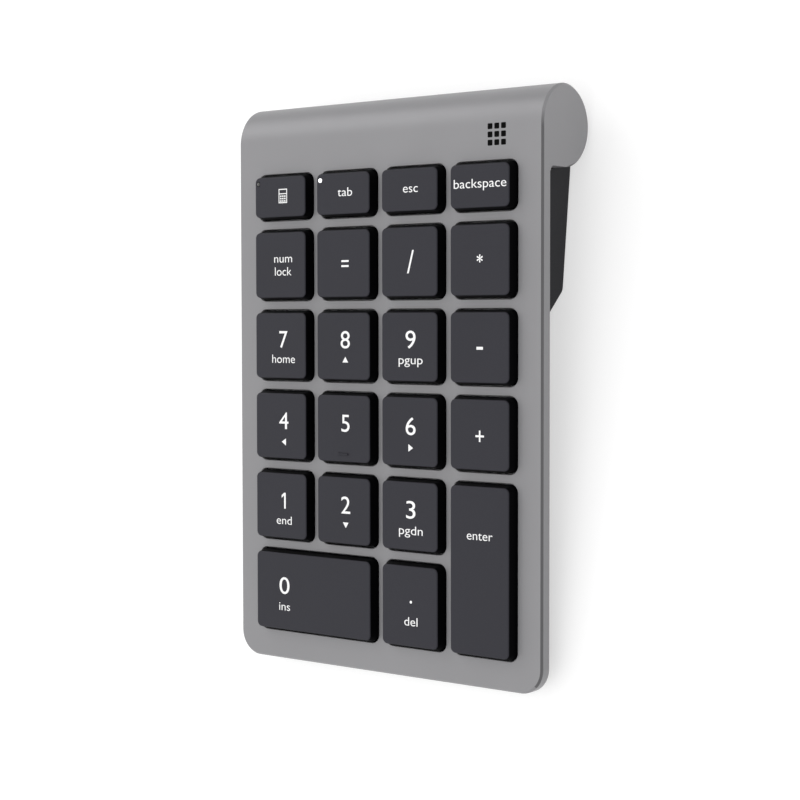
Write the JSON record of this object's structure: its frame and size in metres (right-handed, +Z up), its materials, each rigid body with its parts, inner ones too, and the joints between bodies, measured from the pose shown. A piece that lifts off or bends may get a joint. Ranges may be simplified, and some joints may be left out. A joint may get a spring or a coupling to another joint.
{
  "type": "numeric keypad",
  "caption": "Slim wireless numeric keypad: grey deck with a round rear spine, low sprung keys and a dark tilting riser that holds the battery bay, its sliding door and a power switch.",
  "frame": {"origin": "on the desk, under the middle of the keypad's box", "axes": "+Z up from the desk, +Y from the user to the rear spine, +X to the right, so the digits read upright"},
  "size_m": [0.0866, 0.1302, 0.0209],
  "materials": {
    "shell": "satin grey, fine metallic paint",
    "key": "matt, finely textured",
    "base": "matt black, finely textured",
    "rubber": "matt",
    "silicone": "translucent grey",
    "film": "clear film with printed traces",
    "steel": "zinc plated",
    "spring_steel": "nickel plated",
    "board": "green solder mask",
    "chip": "moulded epoxy",
    "connector": "ivory nylon",
    "light": "clear, lit white",
    "cell": "printed sleeve",
    "lead_red": "insulated wire",
    "lead_black": "insulated wire"
  },
  "bodies": {
    "root": {"top_shell": "shell", "bottom_cover": "base", "dome_sheet": "silicone", "membrane_circuit": "film", "support_plate": "steel", "circuit_board": "board", "controller_chip": "chip", "crystal": "steel", "membrane_connector": "connector", "status_light_calculator": "light", "status_light_tab": "light", "battery_cell_front": "cell", "battery_cell_rear": "cell", "battery_bridge": "spring_steel", "negative_terminal": "spring_steel", "positive_terminal": "spring_steel", "switch_body": "steel", "positive_lead": "lead_red", "negative_lead": "lead_black", "switch_lead": "lead_black", "front_foot_left": "rubber", "front_foot_right": "rubber", "riser_pad_left": "rubber", "riser_pad_right": "rubber", "case_screw_1": "steel", "case_screw_2": "steel", "case_screw_3": "steel", "case_screw_4": "steel", "case_screw_5": "steel", "case_screw_6": "steel"},
    "key_calculator": {"key_calculator": "key", "window_calculator": "light"},
    "key_tab": {"key_tab": "key", "window_tab": "light"},
    "key_escape": {"key_escape": "key"},
    "key_backspace": {"key_backspace": "key"},
    "key_num_lock": {"key_num_lock": "key"},
    "key_equals": {"key_equals": "key"},
    "key_divide": {"key_divide": "key"},
    "key_multiply": {"key_multiply": "key"},
    "key_7": {"key_7": "key"},
    "key_8": {"key_8": "key"},
    "key_9": {"key_9": "key"},
    "key_minus": {"key_minus": "key"},
    "key_4": {"key_4": "key"},
    "key_5": {"key_5": "key"},
    "key_6": {"key_6": "key"},
    "key_plus": {"key_plus": "key"},
    "key_1": {"key_1": "key"},
    "key_2": {"key_2": "key"},
    "key_3": {"key_3": "key"},
    "key_enter": {"key_enter": "key"},
    "key_0": {"key_0": "key"},
    "key_decimal": {"key_decimal": "key"},
    "stabiliser_0": {"stabiliser_0": "steel"},
    "stabiliser_enter": {"stabiliser_enter": "steel"},
    "switch_knob": {"switch_knob": "base"},
    "battery_door": {"battery_door": "base"}
  },
  "joints": [
    {"name": "key_calculator_press", "type": "slide", "parent": "root", "child": "key_calculator", "axis": [0, 0.108, -0.9942], "range_m": [0, 0.0015], "stiffness_N_per_m": 300, "deforming": ["dome_sheet"]},
    {"name": "key_tab_press", "type": "slide", "parent": "root", "child": "key_tab", "axis": [0, 0.108, -0.9942], "range_m": [0, 0.0015], "stiffness_N_per_m": 300, "deforming": ["dome_sheet"]},
    {"name": "key_escape_press", "type": "slide", "parent": "root", "child": "key_escape", "axis": [0, 0.108, -0.9942], "range_m": [0, 0.0015], "stiffness_N_per_m": 300, "deforming": ["dome_sheet"]},
    {"name": "key_backspace_press", "type": "slide", "parent": "root", "child": "key_backspace", "axis": [0, 0.108, -0.9942], "range_m": [0, 0.0015], "stiffness_N_per_m": 300, "deforming": ["dome_sheet"]},
    {"name": "key_num_lock_press", "type": "slide", "parent": "root", "child": "key_num_lock", "axis": [0, 0.108, -0.9942], "range_m": [0, 0.0015], "stiffness_N_per_m": 300, "deforming": ["dome_sheet"]},
    {"name": "key_equals_press", "type": "slide", "parent": "root", "child": "key_equals", "axis": [0, 0.108, -0.9942], "range_m": [0, 0.0015], "stiffness_N_per_m": 300, "deforming": ["dome_sheet"]},
    {"name": "key_divide_press", "type": "slide", "parent": "root", "child": "key_divide", "axis": [0, 0.108, -0.9942], "range_m": [0, 0.0015], "stiffness_N_per_m": 300, "deforming": ["dome_sheet"]},
    {"name": "key_multiply_press", "type": "slide", "parent": "root", "child": "key_multiply", "axis": [0, 0.108, -0.9942], "range_m": [0, 0.0015], "stiffness_N_per_m": 300, "deforming": ["dome_sheet"]},
    {"name": "key_7_press", "type": "slide", "parent": "root", "child": "key_7", "axis": [0, 0.108, -0.9942], "range_m": [0, 0.0015], "stiffness_N_per_m": 300, "deforming": ["dome_sheet"]},
    {"name": "key_8_press", "type": "slide", "parent": "root", "child": "key_8", "axis": [0, 0.108, -0.9942], "range_m": [0, 0.0015], "stiffness_N_per_m": 300, "deforming": ["dome_sheet"]},
    {"name": "key_9_press", "type": "slide", "parent": "root", "child": "key_9", "axis": [0, 0.108, -0.9942], "range_m": [0, 0.0015], "stiffness_N_per_m": 300, "deforming": ["dome_sheet"]},
    {"name": "key_minus_press", "type": "slide", "parent": "root", "child": "key_minus", "axis": [0, 0.108, -0.9942], "range_m": [0, 0.0015], "stiffness_N_per_m": 300, "deforming": ["dome_sheet"]},
    {"name": "key_4_press", "type": "slide", "parent": "root", "child": "key_4", "axis": [0, 0.108, -0.9942], "range_m": [0, 0.0015], "stiffness_N_per_m": 300, "deforming": ["dome_sheet"]},
    {"name": "key_5_press", "type": "slide", "parent": "root", "child": "key_5", "axis": [0, 0.108, -0.9942], "range_m": [0, 0.0015], "stiffness_N_per_m": 300, "deforming": ["dome_sheet"]},
    {"name": "key_6_press", "type": "slide", "parent": "root", "child": "key_6", "axis": [0, 0.108, -0.9942], "range_m": [0, 0.0015], "stiffness_N_per_m": 300, "deforming": ["dome_sheet"]},
    {"name": "key_plus_press", "type": "slide", "parent": "root", "child": "key_plus", "axis": [0, 0.108, -0.9942], "range_m": [0, 0.0015], "stiffness_N_per_m": 300, "deforming": ["dome_sheet"]},
    {"name": "key_1_press", "type": "slide", "parent": "root", "child": "key_1", "axis": [0, 0.108, -0.9942], "range_m": [0, 0.0015], "stiffness_N_per_m": 300, "deforming": ["dome_sheet"]},
    {"name": "key_2_press", "type": "slide", "parent": "root", "child": "key_2", "axis": [0, 0.108, -0.9942], "range_m": [0, 0.0015], "stiffness_N_per_m": 300, "deforming": ["dome_sheet"]},
    {"name": "key_3_press", "type": "slide", "parent": "root", "child": "key_3", "axis": [0, 0.108, -0.9942], "range_m": [0, 0.0015], "stiffness_N_per_m": 300, "deforming": ["dome_sheet"]},
    {"name": "key_enter_press", "type": "slide", "parent": "root", "child": "key_enter", "axis": [0, 0.108, -0.9942], "range_m": [0, 0.0015], "stiffness_N_per_m": 400, "deforming": ["dome_sheet"]},
    {"name": "key_0_press", "type": "slide", "parent": "root", "child": "key_0", "axis": [0, 0.108, -0.9942], "range_m": [0, 0.0015], "stiffness_N_per_m": 400, "deforming": ["dome_sheet"]},
    {"name": "key_decimal_press", "type": "slide", "parent": "root", "child": "key_decimal", "axis": [0, 0.108, -0.9942], "range_m": [0, 0.0015], "stiffness_N_per_m": 300, "deforming": ["dome_sheet"]},
    {"name": "stabiliser_0_turn", "type": "hinge", "parent": "root", "child": "stabiliser_0", "pos_m": [-0.019, -0.04411, 0.00658], "axis": [1, 0, 0], "range_deg": [0, 15]},
    {"name": "stabiliser_enter_turn", "type": "hinge", "parent": "root", "child": "stabiliser_enter", "pos_m": [0.0331, -0.03938, 0.0071], "axis": [0, -0.9942, -0.108], "range_deg": [0, 15]},
    {"name": "power_switch_slide", "type": "slide", "parent": "root", "child": "switch_knob", "axis": [1, 0, 0], "range_m": [0, 0.002]},
    {"name": "battery_door_slide", "type": "slide", "parent": "root", "child": "battery_door", "axis": [0, -1, 0], "range_m": [0, 0.025]}
  ],
  "couplings": [
    {"joint": "stabiliser_0_turn", "follows": "key_0_press", "rad_per_m": 171.3},
    {"joint": "stabiliser_enter_turn", "follows": "key_enter_press", "rad_per_m": 171.3}
  ]
}
